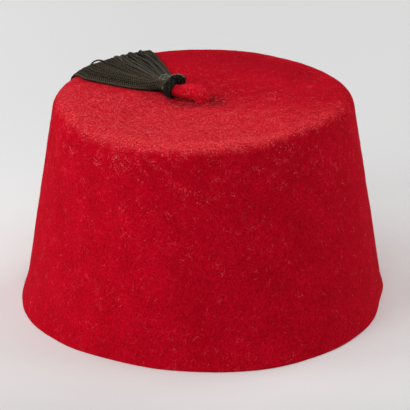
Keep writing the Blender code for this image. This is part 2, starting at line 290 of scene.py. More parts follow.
class Finish:
    """A new material's node tree, with short ways to add and link nodes."""

    def __init__(self, name):
        self.material = bpy.data.materials.new(name)
        self.material.use_nodes = True
        self.nodes = self.material.node_tree.nodes
        self.links = self.material.node_tree.links
        self.surface = self.nodes["Principled BSDF"]

    def add(self, kind, **inputs):
        node = self.nodes.new(kind)
        for name, value in inputs.items():
            self.set(node, name, value)
        return node

    def set(self, node, name, value):
        socket = node.inputs[name] if isinstance(name, int) else node.inputs[name.replace("_", " ")]
        if isinstance(value, bpy.types.NodeSocket):
            self.links.new(value, socket)
        elif isinstance(value, tuple) and len(value) == 3 and socket.type == "RGBA":
            socket.default_value = (*value, 1.0)
        else:
            socket.default_value = value

    def noise(self, where, scale, detail=2.0, roughness=0.5):
        node = self.add("ShaderNodeTexNoise", Vector=where, Scale=scale, Detail=detail)
        node.inputs["Roughness"].default_value = roughness
        return node.outputs["Fac"]

    def span(self, value, low, high, to_low=0.0, to_high=1.0, kind="LINEAR"):
        node = self.nodes.new("ShaderNodeMapRange")
        node.interpolation_type = kind
        for name, number in (("Value", value), ("From Min", low), ("From Max", high)):
            self.set(node, name, number)
        node.inputs["To Min"].default_value = to_low
        node.inputs["To Max"].default_value = to_high
        return node.outputs["Result"]

    def read(self, name):
        """The value that the mesh holds under this name."""
        node = self.nodes.new("ShaderNodeAttribute")
        node.attribute_name = name
        return node.outputs["Fac"]

    def math(self, kind, first, second=0.0):
        node = self.nodes.new("ShaderNodeMath")
        node.operation = kind
        self.set(node, 0, first)
        self.set(node, 1, second)
        return node.outputs[0]

    def multiply(self, first, second):
        return self.math("MULTIPLY", first, second)

    def plus(self, first, second):
        return self.math("ADD", first, second)

    def blend(self, share, first, second, kind="MIX"):
        node = self.nodes.new("ShaderNodeMix")
        node.data_type = "RGBA"
        node.blend_type = kind
        for index, value in ((0, share), (6, first), (7, second)):
            self.set(node, index, value)
        return node.outputs[2]

    def bump(self, height, distance, strength=1.0, normal=None):
        node = self.add("ShaderNodeBump", Height=height, Distance=distance, Strength=strength)
        if normal:
            self.links.new(normal, node.inputs["Normal"])
        return node.outputs["Normal"]

    def finish(self, colour, roughness, normal=None, sheen=0.0, sheen_tint=(1, 1, 1), sheen_roughness=0.4):
        self.set(self.surface, "Base Color", colour)
        self.set(self.surface, "Roughness", roughness)
        self.surface.inputs["Specular IOR Level"].default_value = 0.01
        self.surface.inputs["Sheen Weight"].default_value = sheen
        self.surface.inputs["Sheen Tint"].default_value = (*sheen_tint, 1.0)
        self.surface.inputs["Sheen Roughness"].default_value = sheen_roughness
        if normal:
            self.links.new(normal, self.surface.inputs["Normal"])
        return self.material


def felt_material(name, dark, red, deep, pale, stem_shadow_places=()):
    """Pressed wool: mottled red, a grain of matted fibres, curling pale lint, worn paleness that is partly a
    painted sheen, painted light and shade by the mesh's wear value, and painted shadow round the stem.
    """
    felt = Finish(name)
    where = felt.add("ShaderNodeTexCoord").outputs["Object"]
    wear_and_light_value = felt.read("wear_and_light")
    colour = felt.blend(felt.span(felt.noise(where, 60.0, 3.0, 0.6), 0.32, 0.68), dark, red)
    # Worn paleness; along the front edge it is partly a painted sheen.
    colour = felt.blend(felt.span(wear_and_light_value, 0.30, 1.35, 0.0, 0.60), colour, FELT_PALE_WEAR_AND_SHEEN)
    grain = felt.noise(where, 1000.0, 3.0, 0.75)
    colour = felt.blend(felt.span(grain, 0.36, 0.60, 0.74, 0.0), colour, deep)
    upright = felt.add("ShaderNodeMapping", Vector=where, Scale=(1.0, 1.0, 0.5))
    streak = felt.span(felt.noise(upright.outputs["Vector"], 800.0, 3.0, 0.7), 0.36, 0.64, 0.90, 1.09)
    colour = felt.blend(1.0, colour, streak, "MULTIPLY")
    # Painted shadow round the stem's root, broken up in patches by noise.
    for shadow_middle, reach in stem_shadow_places:
        away = felt.nodes.new("ShaderNodeVectorMath")
        away.operation = "DISTANCE"
        felt.set(away, 0, where)
        away.inputs[1].default_value = shadow_middle
        stem_shadow = felt.span(away.outputs["Value"], 0.35 * reach, reach, 0.85, 0.0)
        shadow_breakup = felt.span(felt.noise(where, 520.0, 3.0, 0.7), 0.36, 0.60, 0.35, 1.0)
        colour = felt.blend(felt.multiply(stem_shadow, shadow_breakup), colour, FELT_SHADOW_COLOUR)
    lint_share = felt.span(wear_and_light_value, 0.0, 0.85, 0.0, 0.85)
    for scale, width, patch, strength in STRANDS:
        wave = felt.math("ABSOLUTE", felt.span(felt.noise(where, scale, 1.0, 0.4), 0.0, 1.0, -0.5, 0.5))
        strand = felt.span(wave, 0.0, width, 1.0, 0.0)
        short = felt.span(felt.noise(where, scale * 2.3, 1.0, 0.5), 0.50, 0.60)
        caught = felt.plus(felt.noise(where, patch, 3.0, 0.65), felt.multiply(lint_share, 0.26))
        tuft = felt.span(caught, 0.612, 0.715)
        share = felt.multiply(felt.multiply(strand, short), tuft)
        colour = felt.blend(felt.multiply(share, strength), colour, pale)
    # Painted shade darkens the back of the top, and painted light brightens its front.
    painted_back_shade = felt.span(wear_and_light_value, -0.06, 0.05, 0.82, 1.0)
    painted_shade_and_light = felt.multiply(painted_back_shade, felt.span(wear_and_light_value, 0.22, 0.62, 1.0, 1.07))
    colour = felt.blend(1.0, colour, painted_shade_and_light, "MULTIPLY")
    normal = felt.bump(felt.noise(where, 420.0, 5.0, 0.8), 0.00045, 0.75)
    normal = felt.bump(grain, 0.00030, 0.7, normal)
    return felt.finish(colour, 0.95, normal, 0.07, (1.0, 0.12, 0.14), 0.5)


felt_red = felt_material("felt_red", FELT_DARK, FELT_RED, FELT_DEEP, FELT_PALE, PAINTED_STEM_SHADOWS)

hole = STEM_RADIUS + GAP
crown_points = []
crown_wear_and_light = []


def wear_and_light_at(azimuth, run, point):
    """How worn the felt is, with painted light: most at the front edge, where a painted sheen lies over the
    wear, and over the front of the top; least at the back of the top, where it paints shade.
    """
    start, end, rim = edge_runs(azimuth)
    on_edge = swell(run - mix(start, end, 0.20), PALE_EDGE_REACH)
    front = 0.45 + 0.55 * swell(turn_from(azimuth, radians(PALE_FRONT_DEG)), radians(PALE_FRONT_HALF_DEG))
    band = swell(turn_from(azimuth, radians(PALE_BAND_DEG)), radians(PALE_BAND_HALF_DEG))
    on_top = 1 - smooth((run - mix(start, end, 0.30)) / (0.45 * (end - start)))
    nearer = smooth(0.58 - (point.y + 0.50 * point.x) / (1.6 * TOP_RADIUS))
    on_wall = mix(*WALL_WEAR, smooth((run - end) / (0.45 * (rim - end))))
    return mix(on_wall, mix(*TOP_WEAR_AND_LIGHT, nearer), on_top) + on_edge * (EDGE_WEAR_AND_SHEEN * front + BAND_WEAR_AND_SHEEN * band)


def add_crown_row(place_of, inside):
    """One ring of the crown, on the outer face or a felt's thickness inside it."""
    for column in range(AROUND):
        azimuth = 2 * pi * column / AROUND
        across, back = place_of(azimuth)
        point, normal = felt_frame(across, back)
        if inside:
            point -= normal * FELT
        # Wear and painted light together: worn edge with painted sheen, painted shade and light over the top.
        wear_and_light = wear_and_light_at(azimuth, hypot(across, back), point)
        point += normal * lumps_at(point)
        if inside:
            wear_and_light *= INSIDE_WEAR
            point.z = max(point.z, 0.0)
        crown_points.append(point)
        crown_wear_and_light.append(wear_and_light)


def top_place(share):
    """Places of one ring on the top, round the stem's hole at first and then round the axis."""

    def place(azimuth):
        ring = hole + (edge_runs(azimuth)[0] - hole) * share
        inward = 1 - smooth(share)
        return ring * cos(azimuth) + ROOT_X * inward, ring * sin(azimuth) + ROOT_Y * inward

    return place


def side_place(section, share):
    """Places of one ring on the rounded edge or on the wall."""

    def place(azimuth):
        start, end, rim = edge_runs(azimuth)
        run = mix(start, end, share) if section == "edge" else mix(end, rim, share)
        return run * cos(azimuth), run * sin(azimuth)

    return place


outer_places = [top_place((row / TOP_ROWS) ** 1.5) for row in range(TOP_ROWS)]
outer_places += [side_place("edge", row / EDGE_ROWS) for row in range(EDGE_ROWS)]
outer_places += [side_place("wall", row / WALL_ROWS) for row in range(WALL_ROWS)]
for place in outer_places:
    add_crown_row(place, False)

# The cut edge below: the outer corner is softly rounded into the flat rim.
for step in range(ROUND_STEPS + 1):
    turn = pi / 2 * step / ROUND_STEPS
    drop = RIM_ROUNDING * (1 - sin(turn))
    for column in range(AROUND):
        azimuth = 2 * pi * column / AROUND
        run = edge_runs(azimuth)[2] - drop / cos(WALL_LEAN)
        point, normal = felt_frame(run * cos(azimuth), run * sin(azimuth))
        point += normal * (lumps_at(point) * (1 - sin(turn)) - RIM_ROUNDING * (1 - cos(turn)))
        point.z = RIM_ROUNDING * (1 - sin(turn))
        crown_points.append(point)
        crown_wear_and_light.append(RIM_WEAR)
inside_places = [side_place("wall", 1 - row / INSIDE_WALL_STEPS) for row in range(int(INSIDE_WALL_STEPS))]
inside_places += [side_place("edge", 1 - row / INSIDE_EDGE_ROWS) for row in range(INSIDE_EDGE_ROWS)]
inside_places += [top_place(1 - row / INSIDE_TOP_ROWS) for row in range(INSIDE_TOP_ROWS + 1)]
for place in inside_places:
    add_crown_row(place, True)
crown_faces = grid_faces(len(crown_points) // AROUND, AROUND, closed=True)
crown = add_mesh("felt_crown", crown_points, crown_faces, felt_red, crown_wear_and_light)
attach(crown, "root")
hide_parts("crown")

# Nap
# Loose wool fibres stand out of the pressed felt all over its outside. Most of
# them lie nearly flat, and those on the top are worn paler than on the wall.
NAP_LENGTH = 0.0021
NAP_THICKNESS = 0.000036
NAP_TOP = 4300
NAP_WALL = 5200
NAP_RISE = 0.22
HAIR_ROOT = (-0.03, 0.0, -0.25)
HAIR_TAPER = 0.75
HAIR_BENDS = (
    # middle_shares, end_shares of each hair's curve
    ((0.42, 0.10, 1.0), (1.0, 0.0, 0.7)),
    ((0.55, -0.22, 0.7), (0.86, 0.34, 1.2)),
    ((0.34, 0.26, 1.3), (0.72, -0.30, 0.15)),
)


class Growth:
    """A Geometry Nodes tree, its named sizes, and short ways to add and link nodes."""

    def __init__(self, name, smooth=True):
        self.tree = bpy.data.node_groups.new(name, "GeometryNodeTree")
        self.tree.interface.new_socket("Geometry", in_out="INPUT", socket_type="NodeSocketGeometry")
        self.tree.interface.new_socket("Geometry", in_out="OUTPUT", socket_type="NodeSocketGeometry")
        self.entry = self.tree.nodes.new("NodeGroupInput")
        self.exit = self.tree.nodes.new("NodeGroupOutput")
        self.sockets = {}
        self.smooth = smooth

    def size(self, name, value, kind="Float"):
        """A named input and the socket that gives its value inside the tree."""
        item = self.tree.interface.new_socket(name, in_out="INPUT", socket_type=f"NodeSocket{kind}")
        if value is not None:
            item.default_value = value
        self.sockets[name] = item.identifier
        return self.entry.outputs[name]

    def add(self, kind, setting=None, **inputs):
        node = self.tree.nodes.new(kind)
        for name, value in (setting or {}).items():
            setattr(node, name, value)
        for name, value in inputs.items():
            self.set(node, name.replace("_", " "), value)
        return node

    def set(self, node, name, value):
        sockets = [socket for socket in node.inputs if socket.name == name and socket.enabled]
        if isinstance(value, bpy.types.NodeSocket):
            self.tree.links.new(value, sockets[0])
        else:
            sockets[0].default_value = value

    def math(self, operation, first, second=0.0):
        node = self.tree.nodes.new("ShaderNodeMath")
        node.operation = operation
        for index, value in enumerate((first, second)):
            if isinstance(value, bpy.types.NodeSocket):
                self.tree.links.new(value, node.inputs[index])
            else:
                node.inputs[index].default_value = value
        return node.outputs[0]

    def random(self, low, high, seed):
        node = self.add("FunctionNodeRandomValue", {"data_type": "FLOAT"}, Min=low, Max=high, Seed=seed)
        return next(socket for socket in node.outputs if socket.enabled)

    def read(self, name):
        node = self.add("GeometryNodeInputNamedAttribute", {"data_type": "FLOAT"}, Name=name)
        return node.outputs["Attribute"]

    def store(self, geometry, name, value, domain="POINT"):
        setting = {"data_type": "FLOAT", "domain": domain}
        node = self.add("GeometryNodeStoreNamedAttribute", setting, Geometry=geometry, Name=name, Value=value)
        return node.outputs["Geometry"]

    def end(self, geometry, material):
        """Realized instances with their material are what the tree gives back."""
        real = self.add("GeometryNodeRealizeInstances", Geometry=geometry)
        dressed = self.add("GeometryNodeSetMaterial", Geometry=real.outputs["Geometry"], Material=material)
        self.tree.links.new(dressed.outputs["Geometry"], self.exit.inputs[0])

    def grow(self, name, mesh, material, **sizes):
        """One plain mesh object, grown from a source mesh."""
        obj = bpy.data.objects.new(name, mesh)
        bpy.context.scene.collection.objects.link(obj)
        modifier = obj.modifiers.new("growth", "NODES")
        modifier.node_group = self.tree
        modifier[self.sockets["Material"]] = material
        for size, value in sizes.items():
            modifier[self.sockets[size.replace("_", " ")]] = value
        graph = bpy.context.evaluated_depsgraph_get()
        grown = bpy.data.meshes.new_from_object(obj.evaluated_get(graph))
        obj.modifiers.remove(modifier)
        obj.data = grown
        grown.name = name
        if self.smooth:
            grown.shade_smooth()
        return obj


def fibre_tree():
    """Bent tapering hairs set at random on a surface, leaning over in any direction."""
    grow = Growth("fibres", smooth=False)
    surface = grow.entry.outputs["Geometry"]
    count = grow.size("Count", 1000, "Int")
    length = grow.size("Length", 0.002)
    thickness = grow.size("Thickness", 0.00004)
    rise = grow.size("Rise", 0.25)
    seed = grow.size("Seed", 1, "Int")
    material = grow.size("Material", None, "Material")
    face_area = grow.add("GeometryNodeInputMeshFaceArea").outputs["Area"]
    area = grow.add("GeometryNodeAttributeStatistic", {"domain": "FACE"}, Geometry=surface)
    grow.tree.links.new(face_area, area.inputs["Attribute"])
    density = grow.math("DIVIDE", count, area.outputs["Sum"])
    spread = grow.add(
        "GeometryNodeDistributePointsOnFaces",
        {"distribute_method": "RANDOM"},
        Mesh=surface,
        Density=density,
        Seed=seed,
    )
    shapes = grow.add("GeometryNodeGeometryToInstance")
    for middle, end in HAIR_BENDS:
        bend = grow.add(
            "GeometryNodeCurveQuadraticBezier", Resolution=4, Start=HAIR_ROOT, Middle=middle, End=end
        )
        gone = grow.add("GeometryNodeSplineParameter").outputs["Factor"]
        slim = grow.math("SUBTRACT", 1.0, grow.math("MULTIPLY", gone, HAIR_TAPER))
        thin = grow.math("DIVIDE", thickness, length)
        profile = grow.add("GeometryNodeCurvePrimitiveCircle", Resolution=3, Radius=thin)
        tube = grow.add(
            "GeometryNodeCurveToMesh",
            Curve=bend.outputs["Curve"],
            Profile_Curve=profile.outputs["Curve"],
            Scale=slim,
            Fill_Caps=True,
        )
        grow.tree.links.new(tube.outputs["Mesh"], shapes.inputs["Geometry"])
    standing = spread.outputs["Rotation"]
    turned = grow.add("FunctionNodeRotateRotation", {"rotation_space": "LOCAL"}, Rotation=standing)
    spin = grow.add("ShaderNodeCombineXYZ", Z=grow.random(0.0, 2 * pi, 7))
    grow.tree.links.new(spin.outputs["Vector"], turned.inputs["Rotate By"])
    long = grow.math("MULTIPLY", length, grow.random(0.45, 1.6, 8))
    tall = grow.math("MULTIPLY", long, grow.math("MULTIPLY", rise, grow.random(0.15, 1.6, 9)))
    stretch = grow.add("ShaderNodeCombineXYZ", X=long, Y=long, Z=tall)
    placed = grow.add(
        "GeometryNodeInstanceOnPoints",
        Points=spread.outputs["Points"],
        Instance=shapes.outputs["Instances"],
        Rotation=turned.outputs["Rotation"],
        Scale=stretch.outputs["Vector"],
        Pick_Instance=True,
    )
    toned = grow.store(placed.outputs["Instances"], "tone", grow.random(0.0, 1.0, 11), "INSTANCE")
    grow.end(toned, material)
    return grow


def fibre_material(name, dark, middle, pale, middle_share=0.62):
    """A hair's colour by its tone, mostly that of its felt or cotton, with painted shade making it darker to
    the back.
    """
    hair = Finish(name)
    ramp = hair.nodes.new("ShaderNodeValToRGB")
    ramp.color_ramp.elements[0].color = (*dark, 1.0)
    ramp.color_ramp.elements[1].color = (*pale, 1.0)
    ramp.color_ramp.elements[1].position = 0.93
    ramp.color_ramp.elements.new(middle_share).color = (*middle, 1.0)
    hair.links.new(hair.read("tone"), ramp.inputs["Fac"])
    place = hair.add("ShaderNodeSeparateXYZ", Vector=hair.add("ShaderNodeTexCoord").outputs["Object"])
    # Painted shade: hairs are darkened towards the back.
    colour = hair.blend(hair.span(place.outputs["Y"], -0.02, 0.07, 0.0, 0.65), ramp.outputs["Color"], dark)
    return hair.finish(colour, 0.8)


def patch_of(points, faces, name):
    """A bare surface for fibres to grow on."""
    mesh = bpy.data.meshes.new(name)
    mesh.from_pydata(points, [], faces)
    return mesh


fibres = fibre_tree()
red_fibre = fibre_material(
    "red_fibre", dark=(0.34, 0.003, 0.012), middle=(0.68, 0.020, 0.033), pale=(1.0, 0.20, 0.20)
)
wall_fibre = fibre_material(
    "wall_fibre",
    dark=(0.36, 0.001, 0.009),
    middle=(0.58, 0.006, 0.020),
    pale=(1.0, 0.14, 0.14),
    middle_share=0.82,
)
upper_rows = TOP_ROWS + EDGE_ROWS // 2
top_faces = grid_faces(upper_rows + 1, AROUND)
wall_faces = grid_faces(len(outer_places), AROUND)[upper_rows * AROUND :]
outer_points = crown_points[: len(outer_places) * AROUND]
wall_faces = [face for face in wall_faces if min(outer_points[index].z for index in face) > NAP_LENGTH]
for name, faces, fibre, count, seed in (
    ("felt_nap_top", top_faces, red_fibre, NAP_TOP, 3),
    ("felt_nap_wall", wall_faces, wall_fibre, NAP_WALL, 5),
):
    nap = fibres.grow(
        name,
        patch_of(outer_points, [face[::-1] for face in faces], name),
        fibre,
        Count=count,
        Length=NAP_LENGTH,
        Thickness=NAP_THICKNESS,
        Rise=NAP_RISE,
        Seed=seed,
    )
    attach(nap, "root")

# Caught lint
# Small tufts of pale wool lint have caught on the worn front edge and on the top,
# and three long fine hairs lie loose on the top. Nothing fixes them but the nap.
LINT_COUNT = 230
LINT_LENGTH = 0.0017
LINT_THICKNESS = 0.000034
LINT_RISE = 0.2
PETAL_TURN = 2.39996
PETAL_REACH = 0.0002
PETAL_CORNERS = (0, 2.1, 4.2)
LONG_HAIR_THICKNESS = 0.000022
LONG_HAIR_STEPS = 18
LONG_HAIR_ARCH = 0.0005
CLEAR_OF_FELT = 0.0001
TUFTS = (
    # left_m, back_m, reach_m, hairs
    (-0.0598, -0.0443, 0.0030, 26),
    (-0.0486, -0.0533, 0.0042, 34),
    (-0.0426, -0.0646, 0.0030, 34),
    (-0.0410, -0.0714, 0.0034, 30),
    (-0.0469, -0.0689, 0.0032, 28),
    (-0.0577, -0.0622, 0.0014, 8),
    (-0.0716, -0.0452, 0.0014, 8),
    (0.0230, -0.0300, 0.0030, 12),
    (0.0420, -0.0660, 0.0034, 16),
    (0.0050, -0.0800, 0.0040, 16),
    (-0.0250, -0.0500, 0.0040, 14),
)
LONG_HAIRS = (
    # start_left_m, start_back_m, bend_left_m, bend_back_m, end_left_m, end_back_m
    (-0.0404, 0.0071, -0.0418, -0.0075, -0.0451, -0.0204),
    (0.0120, -0.0210, 0.0175, -0.0260, 0.0160, -0.0330),
    (0.0330, 0.0080, 0.0380, 0.0010, 0.0350, -0.0060),
)
pale_fibre = fibre_material(
    "pale_fibre", dark=(0.88, 0.07, 0.08), middle=(1.0, 0.20, 0.20), pale=(1.0, 0.46, 0.44)
)
lint_points, lint_faces = [], []
for left, back, reach, hairs in TUFTS:
    for petal in range(hairs):
        turn, away = PETAL_TURN * petal, reach * sqrt((petal + 0.5) / hairs)
        corner = len(lint_points)
        for corner_turn in PETAL_CORNERS:
            across = left + away * cos(turn) + PETAL_REACH * cos(corner_turn)
            behind = back + away * sin(turn) + PETAL_REACH * sin(corner_turn)
            lint_points.append(felt_over(across, behind, CLEAR_OF_FELT))
        lint_faces.append((corner, corner + 1, corner + 2))
lint = fibres.grow(
    "caught_lint",
    patch_of(lint_points, lint_faces, "caught_lint"),
    pale_fibre,
    Count=LINT_COUNT,
    Length=LINT_LENGTH,
    Thickness=LINT_THICKNESS,
    Rise=LINT_RISE,
    Seed=21,
)
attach(lint, "root")


def thread_tree():
    """Plain thin hairs along lines, with closed ends."""
    grow = Growth("long_hairs")
    thickness = grow.size("Thickness", 0.00004)
    material = grow.size("Material", None, "Material")
    line = grow.add("GeometryNodeMeshToCurve", Mesh=grow.entry.outputs["Geometry"])
    profile = grow.add("GeometryNodeCurvePrimitiveCircle", Resolution=4, Radius=thickness)
    tube = grow.add(
        "GeometryNodeCurveToMesh",
        Curve=line.outputs["Curve"],
        Profile_Curve=profile.outputs["Curve"],
        Fill_Caps=True,
    )
    grow.end(tube.outputs["Mesh"], material)
    return grow


def line_mesh(name, lines):
    """Open lines as one mesh of edges, each with its own tone and first turn."""
    points, edges, tones, turns = [], [], [], []
    for line, tone, first_turn in lines:
        start = len(points)
        points += line
        edges += [(start + index, start + index + 1) for index in range(len(line) - 1)]
        tones += [tone] * len(line)
        turns += [first_turn] * len(line)
    mesh = bpy.data.meshes.new(name)
    mesh.from_pydata(points, edges, [])
    mesh.attributes.new("tone", "FLOAT", "POINT").data.foreach_set("value", tones)
    mesh.attributes.new("start_turn", "FLOAT", "POINT").data.foreach_set("value", turns)
    return mesh


hair_lines = []
for start_left, start_back, bend_left, bend_back, end_left, end_back in LONG_HAIRS:
    line = []
    for step in range(LONG_HAIR_STEPS + 1):
        share = step / LONG_HAIR_STEPS
        left = (1 - share) ** 2 * start_left + 2 * share * (1 - share) * bend_left + share**2 * end_left
        back = (1 - share) ** 2 * start_back + 2 * share * (1 - share) * bend_back + share**2 * end_back
        line.append(felt_over(left, back, CLEAR_OF_FELT + LONG_HAIR_ARCH * sin(pi * share)))
    hair_lines.append((line, 0.9, 0.0))
long_hairs = thread_tree().grow(
    "long_hairs", line_mesh("long_hairs", hair_lines), pale_fibre, Thickness=LONG_HAIR_THICKNESS
)
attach(long_hairs, "root")

# Stem
# The nib of the felt itself, pulled up through the top and rolled, lying over to
# the left with its end gripped by the tassel. Softer and brighter than the crown.
STEM_TIP_RADIUS = 0.0031
STEM_REACH = 0.0147
STEM_TAIL = 0.0065
STEM_AZIMUTH_DEG = 165
STEM_RINGS = 44
STEM_TURNS = 40
STEM_SWELLING = 0.0004
STEM_WEAR = 0.12
STEM_LUMPS = (
    # reach_m, height_m
    (0.0035, 0.00028),
    (0.0012, 0.00010),
)
FUZZ_COUNT = 900
FUZZ_LENGTH = 0.0013
FUZZ_RISE = 0.45
FUZZ_FROM_HEIGHT = 0.1065
STEM_LINE = (
    # reach_share, rise_share
    (0.00, -0.60),
    (0.01, 0.22),
    (0.12, 0.98),
    (0.33, 1.16),
    (0.62, 1.16),
    (0.86, 1.16),
    (1.00, 1.16),
    (1.03, 1.16),
)


def stem_point(place):
    """The stem's middle line, by row of its table."""
    reach_share, rise_share = along_table(STEM_LINE, place)
    across = ROOT_X + STEM_REACH * reach_share * cos(radians(STEM_AZIMUTH_DEG))
    back = ROOT_Y + STEM_REACH * reach_share * sin(radians(STEM_AZIMUTH_DEG))
    return Vector((across, back, felt_over(across, back).z + STEM_RADIUS * rise_share))


UP = Vector((0, 0, 1))


def ring_round(middle, run, radius_at, turns):
    """Points round a line, each turn's own distance from it."""
    side = run.cross(UP)
    side = side.normalized() if side.length > 1e-4 else Vector((0, 1, 0))
    over = side.cross(run).normalized()
    found = []
    for turn_step in range(turns):
        turn = 2 * pi * turn_step / turns
        away = over * cos(turn) + side * sin(turn)
        found.append(middle + away * radius_at(turn, middle + away * STEM_RADIUS))
    return found


def tube_faces(rings, turns):
    """Quads along a tube, and then one face over each of its ends."""
    faces = grid_faces(rings, turns)
    faces.append(tuple(range(turns)))
    faces.append(tuple(range((rings - 1) * turns, rings * turns)))
    return faces


stem_line = [stem_point(0) - UP * STEM_TAIL, stem_point(0) - UP * (STEM_TAIL / 2)]
stem_last = len(STEM_LINE) - 1
stem_line += [stem_point(stem_last * step / STEM_RINGS) for step in range(STEM_RINGS + 1)]
stem_points = []
for index, middle in enumerate(stem_line):
    share = index / (len(stem_line) - 1)
    before, after = stem_line[max(index - 1, 0)], stem_line[min(index + 1, len(stem_line) - 1)]
    tapered = STEM_RADIUS * mix(1.0, STEM_TIP_RADIUS / STEM_RADIUS, smooth(share * 1.25 - 0.2))
    swollen = STEM_SWELLING * swell(share - 0.36, 0.34)

    def stem_radius(turn, point):
        return tapered + swollen + lumps_at(point, STEM_LUMPS)

    stem_points += ring_round(middle, (after - before).normalized(), stem_radius, STEM_TURNS)
stem_faces = tube_faces(len(stem_line), STEM_TURNS)
bright_felt = felt_material(
    "felt_bright",
    dark=(0.70, 0.006, 0.024),
    red=(0.92, 0.017, 0.040),
    deep=(0.42, 0.001, 0.008),
    pale=(0.98, 0.26, 0.20),
)
stem = add_mesh("felt_stem", stem_points, stem_faces, bright_felt, [STEM_WEAR] * len(stem_points))
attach(stem, "root")
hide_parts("stem")
sides = stem_faces[: STEM_TURNS * (len(stem_line) - 1)]
shown = [face for face in sides if min(stem_points[index].z for index in face) > FUZZ_FROM_HEIGHT]
bright_fibre = fibre_material(
    "bright_fibre",
    dark=(0.62, 0.010, 0.026),
    middle=(0.80, 0.035, 0.045),
    pale=(0.92, 0.34, 0.30),
    middle_share=0.74,
)
fuzz = fibres.grow(
    "stem_fuzz",
    patch_of(stem_points, shown, "stem_fuzz"),
    bright_fibre,
    Count=FUZZ_COUNT,
    Length=FUZZ_LENGTH,
    Thickness=NAP_THICKNESS,
    Rise=FUZZ_RISE,
    Seed=8,
)
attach(fuzz, "root")

# Collar
# The tassel's threads are gathered over the stem's end, and their cut ends are
# left as a frayed black ruffle round its mouth.
NECK_AZIMUTH_DEG = 122
NECK_REACH = 0.0095
NECK_HEIGHT = 0.0074
NECK_WIDTH = 0.0086
HEAD_REACH = 0.0024
HEAD_HEIGHT = 0.0056
HEAD_WIDTH = 0.0054
HEAD_LIFT = 0.0016
COLLAR_WALL = 0.0007
COLLAR_EASE = 0.0002
COLLAR_OPENING = 0.0003
COLLAR_BACK = 0.0004
COLLAR_FRONT = 0.0032
COLLAR_FLARE = 0.0016
COLLAR_LOBE = 0.0030
COLLAR_TURNS = 120
COLLAR_ROWS = 26
COLLAR_FOLDS = 11
COLLAR_CRINKLE = 0.00045
COLLAR_LUMP = 0.0003
COLLAR_LUMP_REACH = 0.0016
RUFFLE_START = 0.45
RUFFLE_WALL_SHARE = 0.45
LYING_GAP = 0.0007
THREAD_SPECK = (0.20, 0.19, 0.14)
RUFFLE = (
    # turn_deg, lobe_share, flare_share
    (-180, 0.00, 0.05),
    (-140, 0.05, 0.10),
    (-105, 0.12, 0.22),
    (-70, 0.00, 0.10),
    (-38, 0.22, 0.30),
    (-8, 0.30, 0.22),
    (22, 0.62, 0.34),
    (52, 1.00, 0.70),
    (80, 0.66, 0.76),
    (112, 0.20, 0.38),
    (150, 0.05, 0.10),
)
stem_end = stem_point(6)
neck_run = Vector((cos(radians(NECK_AZIMUTH_DEG)), sin(radians(NECK_AZIMUTH_DEG)), 0))
stem_run = (stem_end - stem_point(5)).normalized()
collar_bore = STEM_TIP_RADIUS + GAP + COLLAR_EASE


def collar_point(row_share, turn, outer):
    """A point of the sleeve from its back to its mouth, on its outer or inner face."""
    ruffle_share = smooth((row_share - RUFFLE_START) / (1 - RUFFLE_START))
    along = mix(COLLAR_FRONT, -COLLAR_BACK, smooth(row_share * 1.15))
    bore = collar_bore + COLLAR_OPENING * ruffle_share
    bore += 2 * COLLAR_EASE * smooth(along / COLLAR_FRONT)
    lobe, flare = round_table(RUFFLE, turn)
    run = mix(stem_run, neck_run, smooth(0.5 + along / COLLAR_FRONT)).normalized()
    side = run.cross(UP).normalized()
    side = -side if side.y < 0 else side
    over = side.cross(run)
    over = -over if over.z < 0 else over
    place = stem_end + run * (along - COLLAR_LOBE * lobe * ruffle_share)
    outward = over * cos(turn) + side * sin(turn)
    fold = 0.5 + 0.5 * cos(COLLAR_FOLDS * turn + 3 * sin(2 * turn) + 5 * row_share)
    lump = COLLAR_LUMP * noise.noise((place + outward * bore) / COLLAR_LUMP_REACH)
    crinkle = COLLAR_CRINKLE * fold * mix(0.4, 1.0, ruffle_share) + lump
    wall = COLLAR_WALL * mix(1.0, RUFFLE_WALL_SHARE, ruffle_share)
    away = bore + COLLAR_FLARE * flare * ruffle_share**1.6 + crinkle + (wall if outer else 0)
    place += outward * away
    place.z = max(place.z, felt_over(place.x, place.y).z + LYING_GAP + (0 if outer else 0.0002))
    return place


collar_points = []
for row in range(2 * COLLAR_ROWS):
    outer = row < COLLAR_ROWS
    share = row / (COLLAR_ROWS - 1) if outer else (2 * COLLAR_ROWS - 1 - row) / (COLLAR_ROWS - 1)
    for column in range(COLLAR_TURNS):
        collar_points.append(collar_point(share, 2 * pi * column / COLLAR_TURNS, outer))
collar_faces = grid_faces(2 * COLLAR_ROWS, COLLAR_TURNS, closed=True)


def thread_material(name, dark, light):
    """Black cotton faded to olive, with a painted highlight along the ridges of its twist, painted shade in
    its grooves, and painted light on the side that faces up or outward.
    """
    thread = Finish(name)
    where = thread.add("ShaderNodeTexCoord").outputs["Object"]
    # Painted highlight on the twist's ridges and painted shade in its grooves; painted light on the side
    # facing up or outward, painted shade below it.
    share = thread.span(thread.read("ridge"), 0.35, 0.92, 0.0, 0.78)
    share = thread.multiply(share, thread.span(thread.read("tone"), 0.0, 1.0, 0.12, 1.60))
    share = thread.multiply(share, thread.span(thread.read("upper"), 0.15, 0.95, 0.06, 1.25))
    colour = thread.blend(share, dark, light)
    speck = thread.multiply(thread.span(thread.noise(where, 1500.0, 3.0, 0.7), 0.56, 0.70), 0.55)
    colour = thread.blend(speck, colour, THREAD_SPECK)
    normal = thread.bump(thread.noise(where, 2600.0, 2.0, 0.6), 0.0001, 0.5)
    return thread.finish(colour, 0.8, normal, 0.03, (0.8, 0.8, 0.65), 0.5)


frayed_black = thread_material(
    "frayed_black", dark=(0.0065, 0.0062, 0.0050), light=(0.030, 0.030, 0.023)
)
collar = add_mesh("frayed_collar", collar_points, collar_faces, frayed_black)
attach(collar, "root")
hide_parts("tassel_collar")

